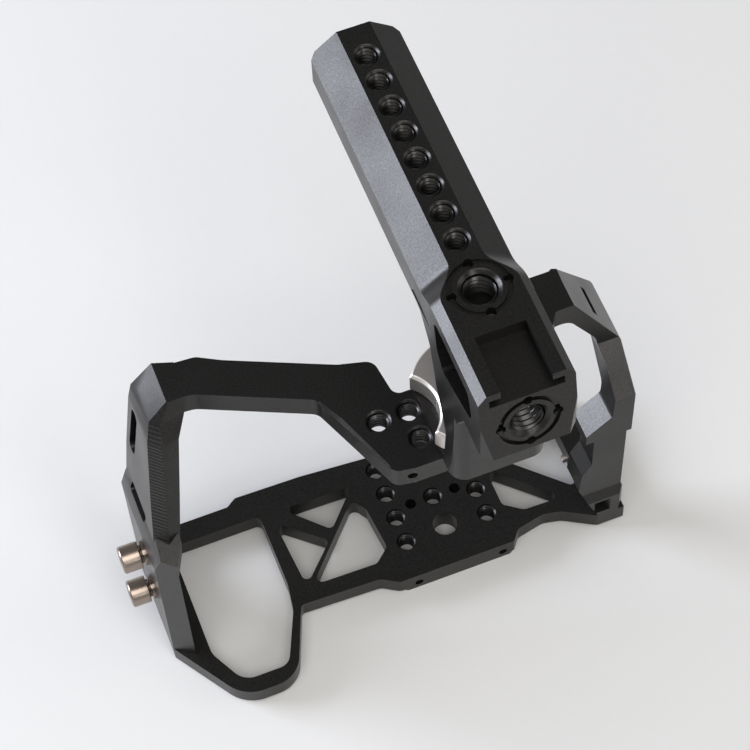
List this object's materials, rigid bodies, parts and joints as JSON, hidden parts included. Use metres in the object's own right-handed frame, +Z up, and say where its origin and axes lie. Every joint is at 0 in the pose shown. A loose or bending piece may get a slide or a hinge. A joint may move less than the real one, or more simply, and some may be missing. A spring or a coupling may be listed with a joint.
{
  "type": "camera cage",
  "caption": "Open metal cage in two bolted halves for a hand-held camera, with a grip loop, strap slots and a top handle clamped by a scalloped thumb wheel.",
  "frame": {"origin": "axis of the camera screw hole on the underside of the middle of the plate", "axes": "+Z up, -Y toward the lens side, +X to the right for a person who looks at the lens side"},
  "size_m": [0.144, 0.1142, 0.1704],
  "materials": {
    "black_anodised": "fine bead-blasted black anodised aluminium",
    "dark_inserts": "blackened steel",
    "steel_parts": "bright stainless steel"
  },
  "bodies": {
    "cage": {"lower_cage": "black_anodised", "upper_cage": "black_anodised", "handle_body": "black_anodised", "top_thread_insert": "dark_inserts", "front_thread_insert": "dark_inserts", "thrust_washer": "steel_parts", "anti_twist_pins": "steel_parts", "side_washer_upper": "steel_parts", "side_washer_lower": "steel_parts", "right_joint_screw": "steel_parts", "rail_pin": "steel_parts"},
    "thumb_wheel": {"handle_knob": "steel_parts", "knob_stud": "steel_parts", "retaining_ring": "steel_parts"},
    "upper_screw": {"side_screw_upper": "steel_parts"},
    "lower_screw": {"side_screw_lower": "steel_parts"}
  },
  "joints": [
    {"name": "thumb_wheel_turn", "type": "hinge", "parent": "cage", "child": "thumb_wheel", "pos_m": [0, -0.0204, 0.1096], "axis": [0, 0, 1], "continuous": true},
    {"name": "upper_screw_turn", "type": "hinge", "parent": "cage", "child": "upper_screw", "pos_m": [-0.0864, 0.0045, 0.0456], "axis": [1, 0, 0], "continuous": true},
    {"name": "lower_screw_turn", "type": "hinge", "parent": "cage", "child": "lower_screw", "pos_m": [-0.0864, 0.0045, 0.0242], "axis": [1, 0, 0], "continuous": true}
  ]
}
